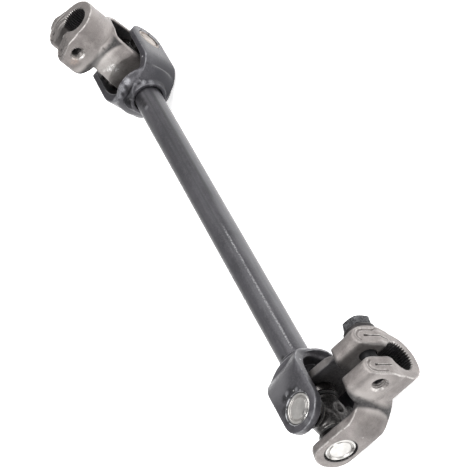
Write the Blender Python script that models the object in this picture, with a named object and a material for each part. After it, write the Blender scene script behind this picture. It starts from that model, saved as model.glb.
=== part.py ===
"""Intermediate steering shaft: a round bar with a universal joint at each end.
Each joint has a forked yoke welded to the bar, a cross with four bearing cups, and a splined
clamp yoke that swings on the cross. The object lies at rest on a floor at z = 0. Metres, +Z up."""

import math

import bmesh
import bpy
import numpy as np
from mathutils import Matrix, Vector

MM = 0.001

# ---- driving dimensions, millimetres and degrees ----
JOINT_SPACING = 319.0  # centre of one cross to centre of the other
SHAFT_R = 8.0
CUP_R = 8.0
CUP_FACE = 20.0  # cross centre to the outer face of a cup
CUP_MOUTH = 11.3  # cross centre to the open end of a cup
TRUNNION_R = 4.9
TRUNNION_END = 17.9
SHOULDER = 9.3
EAR_OUT = 20.5  # cross centre to the outer face of any ear
EAR_IN = 15.7
BORE_R = 8.15  # hole in an ear for a cup

FORK_HALF_W = 12.2
FORK_TIP = 12.3
FORK_DEPTH = 35.0  # cross centre to the back of the fork
FORK_FLOOR = 30.0  # cross centre to the floor between the ears
FORK_BASE_R = 17.0  # the round base that the ears rise from
FORK_EASE_X = 19.2  # the long edges of the ears fall away from the flat outer face
FORK_EASE_Y = 8.8
LIP_END = 39.2  # cross centre to the end of the lip round the bar

CLAMP_END = 49.4  # cross centre to the splined end
CLAMP_R = 13.2  # barrel outside radius
SPLINE_ROOT_R = 8.5
SPLINE_TIP_R = 7.9
SPLINE_TEETH = 36
EAR_PINCH = 14.7  # mid-plane to the outer face of a pinch ear
SLOT_HALF = 3.4
PINCH_DEPTH = 22.6
BOLT_X = 40.2
BOLT_Z = -11.1
SEAT_Y = 17.7
SEAT_R = 8.0
CLEAR_R = 4.3
TAP_R = 3.45

BOLT_R = 3.95
BOLT_CORE_R = 3.15
BOLT_AF = 13.0
BOLT_HEAD = 5.3

# phase of the second fork about the bar, and the rest angles of the two joints
FORK_PHASE = -96.76
LOWER_CROSS = -9.2
LOWER_SWING = -94.0
UPPER_CROSS = 178.6
UPPER_SWING = 82.5

# the direction that points up when the object lies at rest, in the bar's frame
REST_UP = (0.016066, 0.994002, 0.108176)

SEG = 24


# ---- meshes ----
def mesh_object(name, verts, faces):
    mesh = bpy.data.meshes.new(name)
    mesh.from_pydata([tuple(v) for v in verts], [], faces)
    bm = bmesh.new()
    bm.from_mesh(mesh)
    bmesh.ops.remove_doubles(bm, verts=bm.verts, dist=1e-5)
    bmesh.ops.recalc_face_normals(bm, faces=bm.faces)
    bm.to_mesh(mesh)
    bm.free()
    obj = bpy.data.objects.new(name, mesh)
    bpy.context.scene.collection.objects.link(obj)
    return obj


def loft(name, rings):
    """A closed solid through rings of the same number of points."""
    n = len(rings[0])
    verts = [p for ring in rings for p in ring]
    faces = []
    for i in range(len(rings) - 1):
        for j in range(n):
            k = (j + 1) % n
            faces.append((i * n + j, i * n + k, (i + 1) * n + k, (i + 1) * n + j))
    faces.append(tuple(range(n)))
    faces.append(tuple((len(rings) - 1) * n + j for j in range(n)))
    return mesh_object(name, verts, faces)


def prism(name, outline, low, high, axis):
    """The outline, two coordinates a point, drawn out along axis 0, 1 or 2."""
    rings = []
    for h in (low, high):
        ring = []
        for a, b in outline:
            p = [a, b]
            p.insert(axis, h)
            ring.append(p)
        rings.append(ring)
    return loft(name, rings)


def turned(name, profile, axis, seg=SEG):
    """A closed profile of (along, radius) points turned about an axis; a radius of 0 closes on it."""
    verts, faces, ids = [], [], []
    for along, r in profile:
        ring = []
        for j in range(seg):
            t = 2 * math.pi * (j + 0.5) / seg
            p = [r * math.cos(t), r * math.sin(t)]
            p.insert(axis, along)
            if r == 0 and j:
                ring.append(ring[0])
                continue
            ring.append(len(verts))
            verts.append(p)
        ids.append(ring)
    for i in range(len(ids)):
        a, b = ids[i], ids[(i + 1) % len(ids)]
        for j in range(seg):
            k = (j + 1) % seg
            face = []
            for v in (a[j], a[k], b[k], b[j]):
                if v not in face:
                    face.append(v)
            if len(face) > 2:
                faces.append(tuple(face))
    return mesh_object(name, verts, faces)


def combine(obj, other, operation):
    modifier = obj.modifiers.new("shape", "BOOLEAN")
    modifier.operation = operation
    modifier.solver = "EXACT"
    modifier.object = other
    bpy.context.view_layer.update()
    graph = bpy.context.evaluated_depsgraph_get()
    mesh = bpy.data.meshes.new_from_object(obj.evaluated_get(graph))
    obj.modifiers.clear()
    old = obj.data
    obj.data = mesh
    bpy.data.meshes.remove(old)
    bpy.data.objects.remove(other)
    return obj


def tidy(obj, angle=1.0):
    bm = bmesh.new()
    bm.from_mesh(obj.data)
    bmesh.ops.remove_doubles(bm, verts=bm.verts, dist=2e-3)
    bmesh.ops.dissolve_limit(bm, angle_limit=math.radians(angle), verts=bm.verts, edges=bm.edges)
    bmesh.ops.triangulate(bm, faces=bm.faces)
    bmesh.ops.recalc_face_normals(bm, faces=bm.faces)
    bm.to_mesh(obj.data)
    bm.free()
    return obj


def smoothstep(x, low, high):
    t = min(1.0, max(0.0, (x - low) / (high - low)))
    return t * t * (3 - 2 * t)


def arc(cx, cy, r, a0, a1, n):
    return [
        (cx + r * math.cos(math.radians(a0 + (a1 - a0) * i / n)),
         cy + r * math.sin(math.radians(a0 + (a1 - a0) * i / n)))
        for i in range(n + 1)
    ]


# ---- the clamp yoke: x towards the splined end, y along its bearing axis, z away from the pinch bolt ----
def section(half, half_low, top, power, bottom):
    ring = [(-half_low, bottom), (-half_low, -6.0)]
    for i in range(15):
        t = math.pi - math.pi * i / 14
        c, s = math.cos(t), math.sin(t)
        ring.append((math.copysign(abs(c) ** (2 / power), c) * half if abs(c) > 1e-9 else 0.0,
                     abs(s) ** (2 / power) * top))
    ring += [(half_low, -6.0), (half_low, bottom)]
    return ring


def clamp_yoke(name):
    # the arms step in to the barrel along a slanted joggle
    rings = []
    for t in (-1, 0.0, 0.12, 0.3, 0.5, 0.75, 1.0, 2):
        u = min(max(t, 0.0), 1.0)
        s = 1 - u ** 1.35
        half = CLAMP_R + (EAR_OUT - CLAMP_R) * s
        low = EAR_PINCH - 0.6 + (EAR_OUT - EAR_PINCH + 0.6) * s
        ring = []
        for y, z in section(half, low, CLAMP_R + 1.0 * s, 2 + 4.5 * s, -16.9):
            lean = min(max(z, -13.0), 9.0)
            start = 20.0 + (0.34 * lean if lean < 0 else -0.3 * lean)
            x = -16.0 if t < 0 else CLAMP_END if t > 1 else start + (11.5 + 0.2 * max(lean, 0.0)) * t
            ring.append((x, y, z))
        rings.append(ring)
    yoke = loft(name, rings)
    # the throat between the two arms
    rings = []
    for x in (-20.0, 18.5, 21.0, 23.5, 26.0, 28.0, 30.0):
        s = 1 - smoothstep(x, 19.0, 30.0)
        half = 8.0 + (EAR_IN - 8.0) * s
        top = 8.0 + 14.0 * (1 - smoothstep(x, 25.5, 32.5))
        rings.append([(x, y, z) for y, z in section(half, half, top, 2 + 6 * s, -30.0)])
    combine(yoke, loft("throat", rings), "DIFFERENCE")
    # the two pinch ears, each a strip folded back on itself
    thick = EAR_PINCH - SLOT_HALF
    mid, r = SLOT_HALF + thick / 2, thick / 2
    for side in (1, -1):
        fold = arc(mid, -(PINCH_DEPTH - r), r, 180, 360, 8)
        outline = [(SLOT_HALF, -2.0)] + fold + [(EAR_PINCH, -5.0), (CLAMP_R - 0.9, -1.0)]
        ear = prism("ear", [(side * a, b) for a, b in outline], 26.3, CLAMP_END, 0)
        combine(yoke, ear, "UNION")
    # the raised seat for the bolt head
    seat = turned("seat", [(-SEAT_Y, 0), (-SEAT_Y, SEAT_R - 0.6), (-SEAT_Y + 0.6, SEAT_R), (-13.4, SEAT_R), (-13.4, 0)], 1)
    for v in seat.data.vertices:
        v.co.x += BOLT_X
        v.co.z += BOLT_Z
    combine(yoke, seat, "UNION")
    # side outline
    side = [(13.0 * math.cos(math.radians(a)), 13.0 * math.sin(math.radians(a))) for a in range(90, 271, 12)]
    low = [(6.0, -12.7), (12.0, -11.7), (17.0, -10.9), (21.5, -11.5), (24.6, -13.8), (26.6, -17.0), (27.6, -20.2),
           (29.2, -22.2), (31.6, -23.2), (42.0, -23.2), (44.2, -21.6), (45.6, -18.5), (CLAMP_END, -9.5)]
    high = [(CLAMP_END + 1, -9.5), (CLAMP_END + 1, 15.0), (29.6, 15.0), (29.2, 13.2), (28.2, 11.8),
            (26.6, 11.0), (24.5, 11.2), (22.0, 11.7), (18.0, 12.0), (12.0, 12.3), (6.0, 12.7)]
    combine(yoke, prism("outline", side + low + high, -30.0, 30.0, 1), "INTERSECT")
    # splined bore and slot
    star = []
    for i in range(SPLINE_TEETH):
        for k, radius in ((-0.30, SPLINE_ROOT_R), (0.30, SPLINE_TIP_R)):
            t = 2 * math.pi * (i + 0.5 + k) / SPLINE_TEETH
            star.append((radius * math.cos(t), radius * math.sin(t)))
    combine(yoke, prism("bore", star, 26.0, CLAMP_END + 2, 0), "DIFFERENCE")
    combine(yoke, prism("slot", [(-SLOT_HALF, -32.0), (SLOT_HALF, -32.0), (SLOT_HALF, -1.0), (-SLOT_HALF, -1.0)], 26.0, CLAMP_END + 2, 0), "DIFFERENCE")
    # the seam inside each folded ear
    fold_z = -(PINCH_DEPTH - r) - 0.3
    for y0, y1, top in ((-mid, -8.0, -3.2), (mid, mid, -8.6)):
        seam = [(y0 - 0.28, fold_z), (y0 + 0.28, fold_z), (y1 + 0.28, top), (y1 - 0.28, top)]
        combine(yoke, prism("seam", seam, 22.0, CLAMP_END + 2, 0), "DIFFERENCE")
    # holes for the cups and for the pinch bolt
    combine(yoke, turned("cups", [(-30.0, 0), (-30.0, BORE_R), (30.0, BORE_R), (30.0, 0)], 1), "DIFFERENCE")
    far = turned("far", [(-20.0, 0), (-20.0, CLEAR_R), (0.0, CLEAR_R), (0.0, 0)], 1, 20)
    near = turned("near", [(0.0, 0), (0.0, TAP_R), (EAR_PINCH - 0.8, TAP_R), (EAR_PINCH + 0.2, TAP_R + 1.0), (20.0, TAP_R + 1.0), (20.0, 0)], 1, 20)
    for hole in (far, near):
        for v in hole.data.vertices:
            v.co.x += BOLT_X
            v.co.z += BOLT_Z
        combine(yoke, hole, "DIFFERENCE")
    return tidy(yoke)


# ---- the fork welded to the bar: x along its bearing axis, z away from the bar ----
def fork(name):
    outer = [(EAR_OUT, 16.0), (EAR_OUT, -14.0), (20.2, -19.5), (19.2, -23.8), (17.6, -27.3), (15.5, -30.4), (12.8, -32.8), (9.0, -34.4), (4.5, -FORK_DEPTH)]
    outer += [(-a, b) for a, b in reversed(outer)]
    inner = [(EAR_IN, 16.0), (EAR_IN, -14.0), (15.4, -18.6), (14.3, -22.6), (12.3, -26.0), (9.6, -28.4), (6.0, -FORK_FLOOR)]
    inner += [(-a, b) for a, b in reversed(inner)]
    body = prism(name, outer + list(reversed(inner)), -FORK_HALF_W, FORK_HALF_W, 1)
    # rounded ear tips, and long edges that fall away
    tip = arc(0, FORK_TIP - FORK_HALF_W, FORK_HALF_W, 0, 180, 12)
    combine(body, prism("face", tip + [(-FORK_HALF_W, -40.0), (FORK_HALF_W, -40.0)], -30.0, 30.0, 0), "INTERSECT")
    plan = [(EAR_OUT, -FORK_EASE_Y), (EAR_OUT, FORK_EASE_Y), (FORK_EASE_X, FORK_HALF_W), (-FORK_EASE_X, FORK_HALF_W),
            (-EAR_OUT, FORK_EASE_Y), (-EAR_OUT, -FORK_EASE_Y), (-FORK_EASE_X, -FORK_HALF_W), (FORK_EASE_X, -FORK_HALF_W)]
    combine(body, prism("plan", plan, -50.0, 30.0, 2), "INTERSECT")
    # the round base and the lip round the bar
    base = [(-FORK_FLOOR, 0), (-FORK_FLOOR, FORK_BASE_R - 0.5), (-FORK_FLOOR - 0.6, FORK_BASE_R), (-FORK_FLOOR - 1.3, FORK_BASE_R - 0.1), (-FORK_FLOOR - 3.1, 15.3),
            (-FORK_FLOOR - 4.9, 12.8), (-FORK_FLOOR - 6.2, 11.5), (-LIP_END + 0.5, 11.0), (-LIP_END, 10.5), (-LIP_END, 0)]
    combine(body, turned("base", base, 2), "UNION")
    hole = [(-60.0, 0), (-60.0, 9.9), (-LIP_END + 0.4, 9.9), (-LIP_END + 0.8, 9.4), (-LIP_END + 2.6, 9.3), (-LIP_END + 2.6, SHAFT_R + 0.25),
            (0.0, SHAFT_R + 0.25), (0.0, 0)]
    combine(body, turned("bar", hole, 2), "DIFFERENCE")
    combine(body, turned("cups", [(-30.0, 0), (-30.0, BORE_R), (30.0, BORE_R), (30.0, 0)], 0), "DIFFERENCE")
    return tidy(body)


def cross(name):
    """Trunnions along x and y."""
    body = turned(name, [(-SHOULDER, 0), (-SHOULDER, 6.6), (-SHOULDER + 0.8, 7.4), (SHOULDER - 0.8, 7.4), (SHOULDER, 6.6), (SHOULDER, 0)], 0, 20)
    combine(body, turned("b", [(-SHOULDER, 0), (-SHOULDER, 6.6), (-SHOULDER + 0.8, 7.4), (SHOULDER - 0.8, 7.4), (SHOULDER, 6.6), (SHOULDER, 0)], 1, 20), "UNION")
    ball = [(9.0 * math.sin(math.radians(a)), 9.0 * math.cos(math.radians(a)) if abs(a) < 90 else 0) for a in range(-90, 91, 15)]
    combine(body, turned("ball", ball, 2, 20), "UNION")
    pin = [(-TRUNNION_END, 0), (-TRUNNION_END, TRUNNION_R - 0.6), (-TRUNNION_END + 0.6, TRUNNION_R),
           (TRUNNION_END - 0.6, TRUNNION_R), (TRUNNION_END, TRUNNION_R - 0.6), (TRUNNION_END, 0)]
    for axis in (0, 1):
        combine(body, turned("pin", pin, axis, 16), "UNION")
    return tidy(body)


def cup(name):
    """Pressed in from outside, closed end towards +x."""
    profile = [(CUP_FACE - 0.25, 0), (CUP_FACE - 0.25, 5.3), (CUP_FACE - 0.75, 5.6), (CUP_FACE - 0.75, 6.2), (CUP_FACE, 6.6), (CUP_FACE, 7.4),
               (CUP_FACE - 0.6, CUP_R), (CUP_MOUTH, CUP_R), (CUP_MOUTH, 7.0), (18.2, 7.0), (18.2, 0)]
    return turned(name, profile, 0)


def needles(name):
    return turned(name, [(11.9, 5.15), (17.9, 5.15), (17.9, 6.8), (11.9, 6.8)], 0, 20)


def seal(name):
    return turned(name, [(9.6, 5.2), (11.05, 5.2), (11.05, 7.5), (10.3, 7.9), (9.6, 7.2)], 0, 20)


def pinch_bolt(name):
    """Axis along y, head towards -y, in the clamp yoke's frame."""
    seat = -SEAT_Y - 0.25
    body = turned(name, [(seat - 1.0, 0), (seat - 1.0, BOLT_R), (SLOT_HALF - 0.9, BOLT_R), (SLOT_HALF - 0.3, BOLT_CORE_R), (10.2, BOLT_CORE_R), (10.9, BOLT_CORE_R - 0.8), (10.9, 0)], 1, 16)
    hexagon = [(BOLT_AF / math.sqrt(3) * math.cos(math.radians(60 * i + 8)), BOLT_AF / math.sqrt(3) * math.sin(math.radians(60 * i + 8))) for i in range(6)]
    head = prism("head", hexagon, seat - BOLT_HEAD, seat, 1)
    crown = turned("crown", [(seat - BOLT_HEAD, 0), (seat - BOLT_HEAD, 6.0), (seat - BOLT_HEAD + 0.8, 7.6), (seat, 7.6), (seat, 0)], 1, 24)
    combine(head, crown, "INTERSECT")
    combine(body, head, "UNION")
    for v in body.data.vertices:
        v.co.x += BOLT_X
        v.co.z += BOLT_Z
    return tidy(body)


# ---- materials ----
def material(name, colour, roughness, metallic):
    mat = bpy.data.materials.new(name)
    mat.use_nodes = True
    shader = mat.node_tree.nodes["Principled BSDF"]
    shader.inputs["Base Color"].default_value = (*colour, 1)
    shader.inputs["Roughness"].default_value = roughness
    shader.inputs["Metallic"].default_value = metallic
    mat.diffuse_color = (*colour, 1)
    return mat


def frame_matrix(origin, x, y, z):
    m = Matrix((x, y, z)).transposed().to_4x4()
    m.translation = origin
    return m


def place(obj, matrix, mat):
    obj.data.materials.clear()
    obj.data.materials.append(mat)
    for poly in obj.data.polygons:
        poly.use_smooth = True
    obj.data.set_sharp_from_angle(angle=math.radians(32))
    obj.matrix_world = matrix @ Matrix.Scale(MM, 4)
    return obj


def main():
    for obj in list(bpy.data.objects):
        bpy.data.objects.remove(obj)
    black = material("black_finish", (0.055, 0.055, 0.060), 0.45, 0.35)
    steel = material("bare_steel", (0.36, 0.34, 0.33), 0.50, 0.85)
    bright = material("ground_steel", (0.78, 0.76, 0.74), 0.25, 1.0)
    forged = material("forged_steel", (0.16, 0.16, 0.165), 0.45, 0.9)
    rubber = material("seal_rubber", (0.02, 0.02, 0.022), 0.6, 0.0)
    bolt_mat = material("dark_bolt", (0.05, 0.05, 0.055), 0.42, 0.7)

    # the bar's frame: x down the bar, y along the lower fork's bearing axis, origin at the lower cross
    up = Vector(REST_UP).normalized()
    ex = (Vector((1, 0, 0)) - up * up.x).normalized()
    ey = up.cross(ex)
    to_world = Matrix((ex, ey, up)).to_4x4()

    u = Vector((1, 0, 0))
    k_low = Vector((0, 1, 0))
    g_low = Matrix.Rotation(math.radians(LOWER_CROSS), 3, k_low) @ u
    a_low = Matrix.Rotation(math.radians(LOWER_SWING), 3, g_low) @ k_low
    k_up = Matrix.Rotation(math.radians(FORK_PHASE), 3, u) @ k_low
    g_up = Matrix.Rotation(math.radians(UPPER_CROSS), 3, k_up) @ -u
    a_up = Matrix.Rotation(math.radians(UPPER_SWING), 3, g_up) @ k_up
    low = Vector((0, 0, 0))
    high = -u * JOINT_SPACING * MM

    placed = []
    bar_end = FORK_FLOOR + 0.4
    bar = turned("shaft", [(-JOINT_SPACING + bar_end, 0), (-JOINT_SPACING + bar_end, SHAFT_R - 0.8), (-JOINT_SPACING + bar_end + 0.8, SHAFT_R),
                           (-bar_end - 0.8, SHAFT_R), (-bar_end, SHAFT_R - 0.8), (-bar_end, 0)], 0, 32)
    placed.append(place(bar, Matrix.Identity(4), black))
    for label, o, k, g, a, axis in (("lower", low, k_low, g_low, a_low, u), ("upper", high, k_up, g_up, a_up, -u)):
        placed.append(place(fork(label + "_shaft_yoke"), frame_matrix(o, k, axis.cross(k), axis), black))
        placed.append(place(cross(label + "_cross"), frame_matrix(o, k, g, k.cross(g)), forged))
        placed.append(place(clamp_yoke(label + "_clamp_yoke"), frame_matrix(o, a, g, a.cross(g)), steel))
        for owner, direction in (("shaft", k), ("clamp", g)):
            for sign, end in ((1, "a"), (-1, "b")):
                d = direction * sign
                side = (g if owner == "shaft" else k)
                m = frame_matrix(o, d, side, d.cross(side))
                tag = f"{label}_{owner}_{end}"
                placed.append(place(cup(tag + "_cup"), m, bright))
                placed.append(place(needles(tag + "_needles"), m, bright))
                placed.append(place(seal(tag + "_seal"), m, rubber))
    placed.append(place(pinch_bolt("lower_pinch_bolt"), frame_matrix(low, a_low, g_low, a_low.cross(g_low)), bolt_mat))

    corners = np.array([to_world @ (obj.matrix_world @ v.co) for obj in placed for v in obj.data.vertices])
    shift = Vector((-(corners[:, 0].min() + corners[:, 0].max()) / 2, -(corners[:, 1].min() + corners[:, 1].max()) / 2, -corners[:, 2].min()))
    for obj in placed:
        obj.matrix_world = Matrix.Translation(shift) @ to_world @ obj.matrix_world


main()
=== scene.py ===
"""Looks of the intermediate steering shaft: forged and pressed yokes with rounded edges, turned cups,
a threaded pinch bolt, weld, wear and paint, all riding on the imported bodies. Row frame, metres, +Z up."""

import math

import bmesh
import bpy
import numpy as np
from mathutils import Matrix, Vector


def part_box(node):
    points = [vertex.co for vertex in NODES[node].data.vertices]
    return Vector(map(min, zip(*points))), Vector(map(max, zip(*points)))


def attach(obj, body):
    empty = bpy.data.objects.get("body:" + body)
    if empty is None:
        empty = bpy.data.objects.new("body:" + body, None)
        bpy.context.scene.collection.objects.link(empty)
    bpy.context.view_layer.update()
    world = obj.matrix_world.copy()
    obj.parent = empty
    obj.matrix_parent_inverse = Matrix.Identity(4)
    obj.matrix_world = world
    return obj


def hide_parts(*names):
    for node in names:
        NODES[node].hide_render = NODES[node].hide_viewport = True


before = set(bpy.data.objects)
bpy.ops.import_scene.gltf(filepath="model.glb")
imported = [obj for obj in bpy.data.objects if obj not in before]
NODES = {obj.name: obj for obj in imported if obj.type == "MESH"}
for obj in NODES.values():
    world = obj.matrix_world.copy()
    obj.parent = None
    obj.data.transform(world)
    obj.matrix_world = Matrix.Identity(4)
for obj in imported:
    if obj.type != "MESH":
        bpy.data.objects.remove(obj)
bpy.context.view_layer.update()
MM = 0.001

# ---- sizes shared with the solids, millimetres and degrees ----
SPACING = 319.0
SHAFT_R = 8.0
CUP_R, CUP_FACE, CUP_MOUTH = 8.0, 20.0, 11.3
EAR_OUT, EAR_IN = 20.5, 15.7
FORK_HALF_W, FORK_TIP, FORK_DEPTH, FORK_FLOOR, FORK_BASE_R = 12.2, 12.3, 35.0, 30.0, 17.0
FORK_EASE_X, FORK_EASE_Y, LIP_END = 19.2, 8.8, 39.2
CLAMP_END, CLAMP_R = 49.4, 13.2
EAR_PINCH, SLOT_HALF, PINCH_DEPTH = 14.7, 3.4, 22.6
BOLT_X, BOLT_Z, SEAT_Y, SEAT_R = 40.2, -11.1, 17.7, 8.0
FORK_PHASE, LOWER_CROSS, LOWER_SWING, UPPER_CROSS, UPPER_SWING = -96.76, -9.2, -94.0, 178.6, 82.5
REST_UP = (0.016066, 0.994002, 0.108176)


# ---- frames of the pieces in the row ----
def cross_centre(end):
    a = [(Vector(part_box(f"{end}_{o}_a_cup")[i]), Vector(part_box(f"{end}_{o}_b_cup")[i])) for o in ("shaft", "clamp") for i in (0, 1)]
    return sum((p + q for p, q in a), Vector()) / 8


up = Vector(REST_UP).normalized()
ex = (Vector((1, 0, 0)) - up * up.x).normalized()
TO_ROW = Matrix((ex, up.cross(ex), up))
U = Vector((1, 0, 0))
K_LOW = Vector((0, 1, 0))
G_LOW = Matrix.Rotation(math.radians(LOWER_CROSS), 3, K_LOW) @ U
A_LOW = Matrix.Rotation(math.radians(LOWER_SWING), 3, G_LOW) @ K_LOW
K_UP = Matrix.Rotation(math.radians(FORK_PHASE), 3, U) @ K_LOW
G_UP = Matrix.Rotation(math.radians(UPPER_CROSS), 3, K_UP) @ -U
A_UP = Matrix.Rotation(math.radians(UPPER_SWING), 3, G_UP) @ K_UP
O_LOW, O_UP = cross_centre("lower"), cross_centre("upper")


def row_matrix(origin, x, y, z):
    m = Matrix([TO_ROW @ x, TO_ROW @ y, TO_ROW @ z]).transposed().to_4x4() @ Matrix.Scale(MM, 4)
    m.translation = origin
    return m


ENDS = {
    "lower": dict(o=O_LOW, k=K_LOW, g=G_LOW, a=A_LOW, axis=U),
    "upper": dict(o=O_UP, k=K_UP, g=G_UP, a=A_UP, axis=-U),
}
FORK_M = {e: row_matrix(d["o"], d["k"], d["axis"].cross(d["k"]), d["axis"]) for e, d in ENDS.items()}
CROSS_M = {e: row_matrix(d["o"], d["k"], d["g"], d["k"].cross(d["g"])) for e, d in ENDS.items()}
CLAMP_M = {e: row_matrix(d["o"], d["a"], d["g"], d["a"].cross(d["g"])) for e, d in ENDS.items()}


# ---- fields: negative inside, about one unit a millimetre ----
def smin(a, b, k):
    h = np.clip(0.5 + 0.5 * (b - a) / k, 0, 1)
    return b * (1 - h) + a * h - k * h * (1 - h)


def smax(a, b, k):
    return -smin(-a, -b, k)


def step(x, low, high):
    t = np.clip((x - low) / (high - low), 0, 1)
    return t * t * (3 - 2 * t)


def chaikin(points, times=2):
    p = np.array(points, float)
    for _ in range(times):
        q = np.roll(p, -1, 0)
        p = np.stack([p * 0.75 + q * 0.25, p * 0.25 + q * 0.75], 1).reshape(-1, 2)
    return p


def arc(cx, cy, r, a0, a1, n):
    return [(cx + r * math.cos(math.radians(a0 + (a1 - a0) * i / n)), cy + r * math.sin(math.radians(a0 + (a1 - a0) * i / n))) for i in range(n + 1)]


class Outline:
    """Signed distance to a closed polygon, read from a fine table."""

    def __init__(self, points, pad=5.0, cell=0.15):
        p = np.array(points, float)
        self.low, self.cell = p.min(0) - pad, cell
        n = np.ceil((p.max(0) + pad - self.low) / cell).astype(int) + 1
        x, y = np.meshgrid(*(self.low[i] + cell * np.arange(n[i]) for i in (0, 1)), indexing="ij")
        d2, inside = np.full(x.shape, 1e9), np.zeros(x.shape, bool)
        for a, b in zip(p, np.roll(p, -1, 0)):
            e = b - a
            t = np.clip(((x - a[0]) * e[0] + (y - a[1]) * e[1]) / max(e @ e, 1e-12), 0, 1)
            d2 = np.minimum(d2, (x - a[0] - t * e[0]) ** 2 + (y - a[1] - t * e[1]) ** 2)
            crosses = (a[1] > y) != (b[1] > y)
            if a[1] != b[1]:
                inside ^= crosses & (x < a[0] + (y - a[1]) * e[0] / (b[1] - a[1]))
        self.table = np.where(inside, -1, 1) * np.sqrt(d2)

    def __call__(self, x, y):
        n = self.table.shape
        u, v = (x - self.low[0]) / self.cell, (y - self.low[1]) / self.cell
        cu, cv = np.clip(u, 0, n[0] - 1.001), np.clip(v, 0, n[1] - 1.001)
        i, j = cu.astype(int), cv.astype(int)
        fu, fv = cu - i, cv - j
        t = self.table
        d = (t[i, j] * (1 - fu) + t[i + 1, j] * fu) * (1 - fv) + (t[i, j + 1] * (1 - fu) + t[i + 1, j + 1] * fu) * fv
        return d + np.hypot(u - cu, v - cv) * self.cell


def ripple(x, y, z, size, seed=0.0):
    """A smooth uneven field between about -1 and 1."""
    s = 2 * math.pi / size
    a = np.sin(s * (x + 0.37 * y) + 1.3 + seed) * np.sin(s * (0.83 * y - 0.41 * z) + 2.1 * seed + 0.4)
    b = np.sin(s * 1.71 * (z - 0.29 * x) + 0.9 * seed) * np.sin(s * 1.37 * (x + 0.7 * z) + 1.7)
    return 0.6 * a + 0.4 * b


def net(name, field, low, high, cell):
    """A smooth closed mesh of the field's zero surface."""
    low, high = np.array(low, float), np.array(high, float)
    n = np.ceil((high - low) / cell).astype(int) + 1
    xs = [low[i] + cell * np.arange(n[i]) for i in range(3)]
    grid = np.empty(n)
    for i in range(n[0]):
        y, z = np.meshgrid(xs[1], xs[2], indexing="ij")
        grid[i] = field(np.full(y.shape, xs[0][i]), y, z)
    grid[[0, -1]] = np.maximum(grid[[0, -1]], 0.5)
    grid[:, [0, -1]] = np.maximum(grid[:, [0, -1]], 0.5)
    grid[:, :, [0, -1]] = np.maximum(grid[:, :, [0, -1]], 0.5)
    neg = grid < 0
    corners = [neg[a : n[0] - 1 + a, b : n[1] - 1 + b, c : n[2] - 1 + c] for a in (0, 1) for b in (0, 1) for c in (0, 1)]
    count = sum(c.astype(np.int8) for c in corners)
    active = (count > 0) & (count < 8)
    index = np.full(active.shape, -1, np.int64)
    index[active] = np.arange(active.sum())
    cells = np.argwhere(active)
    pos, num = np.zeros((len(cells), 3)), np.zeros(len(cells))
    for axis in range(3):
        o1, o2 = [i for i in range(3) if i != axis]
        for a in (0, 1):
            for b in (0, 1):
                c0 = cells.copy()
                c0[:, o1] += a
                c0[:, o2] += b
                c1 = c0.copy()
                c1[:, axis] += 1
                d0, d1 = grid[tuple(c0.T)], grid[tuple(c1.T)]
                hit = (d0 < 0) != (d1 < 0)
                t = np.where(hit, d0 / np.where(hit, d0 - d1, 1), 0)
                p = c0.astype(float)
                p[:, axis] += t
                pos[hit] += p[hit]
                num[hit] += 1
    verts = low + cell * pos / num[:, None]
    for _ in range(3):
        d = field(*verts.T)
        e = 0.05
        g = np.stack([field(*(verts + e * np.eye(3)[i]).T) - field(*(verts - e * np.eye(3)[i]).T) for i in range(3)], 1) / (2 * e)
        move = -(d / np.maximum((g * g).sum(1), 0.2))[:, None] * g
        length = np.linalg.norm(move, axis=1, keepdims=True)
        verts += move * np.minimum(1, 0.45 * cell / np.maximum(length, 1e-9))
    faces = []
    for axis in range(3):
        o1, o2 = (axis + 1) % 3, (axis + 2) % 3
        a = [slice(None)] * 3
        b = [slice(None)] * 3
        a[axis], b[axis] = slice(0, -1), slice(1, None)
        change = neg[tuple(a)] != neg[tuple(b)]
        e = np.argwhere(change)
        e = e[(e[:, o1] > 0) & (e[:, o2] > 0) & (e[:, o1] < n[o1] - 1) & (e[:, o2] < n[o2] - 1)]
        quad = []
        for s1, s2 in ((1, 1), (0, 1), (0, 0), (1, 0)):
            c = e.copy()
            c[:, o1] -= s1
            c[:, o2] -= s2
            quad.append(index[tuple(c.T)])
        quad = np.stack(quad, 1)
        first = neg[tuple(e.T)]
        quad[~first] = quad[~first][:, ::-1]
        faces.append(quad)
    return mesh_object(name, verts, np.concatenate(faces))


# ---- meshes ----
def mesh_object(name, verts, faces):
    mesh = bpy.data.meshes.new(name)
    if isinstance(faces, np.ndarray):
        mesh.vertices.add(len(verts))
        mesh.vertices.foreach_set("co", np.asarray(verts, np.float32).ravel())
        mesh.loops.add(faces.size)
        mesh.loops.foreach_set("vertex_index", faces.astype(np.int32).ravel())
        mesh.polygons.add(len(faces))
        mesh.polygons.foreach_set("loop_start", np.arange(0, faces.size, faces.shape[1], dtype=np.int32))
        mesh.update(calc_edges=True)
    else:
        mesh.from_pydata([tuple(v) for v in verts], [], faces)
    mesh.validate()
    obj = bpy.data.objects.new(name, mesh)
    bpy.context.scene.collection.objects.link(obj)
    return obj


def outward(obj, weld=1e-4):
    bm = bmesh.new()
    bm.from_mesh(obj.data)
    bmesh.ops.remove_doubles(bm, verts=bm.verts, dist=weld)
    bmesh.ops.recalc_face_normals(bm, faces=bm.faces)
    bm.to_mesh(obj.data)
    bm.free()
    return obj


def prism(name, outline, low, high, axis):
    n, verts = len(outline), []
    for h in (low, high):
        for a, b in outline:
            p = [a, b]
            p.insert(axis, h)
            verts.append(p)
    faces = [(j, (j + 1) % n, n + (j + 1) % n, n + j) for j in range(n)] + [tuple(range(n)), tuple(range(n, 2 * n))]
    return outward(mesh_object(name, verts, faces))


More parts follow.
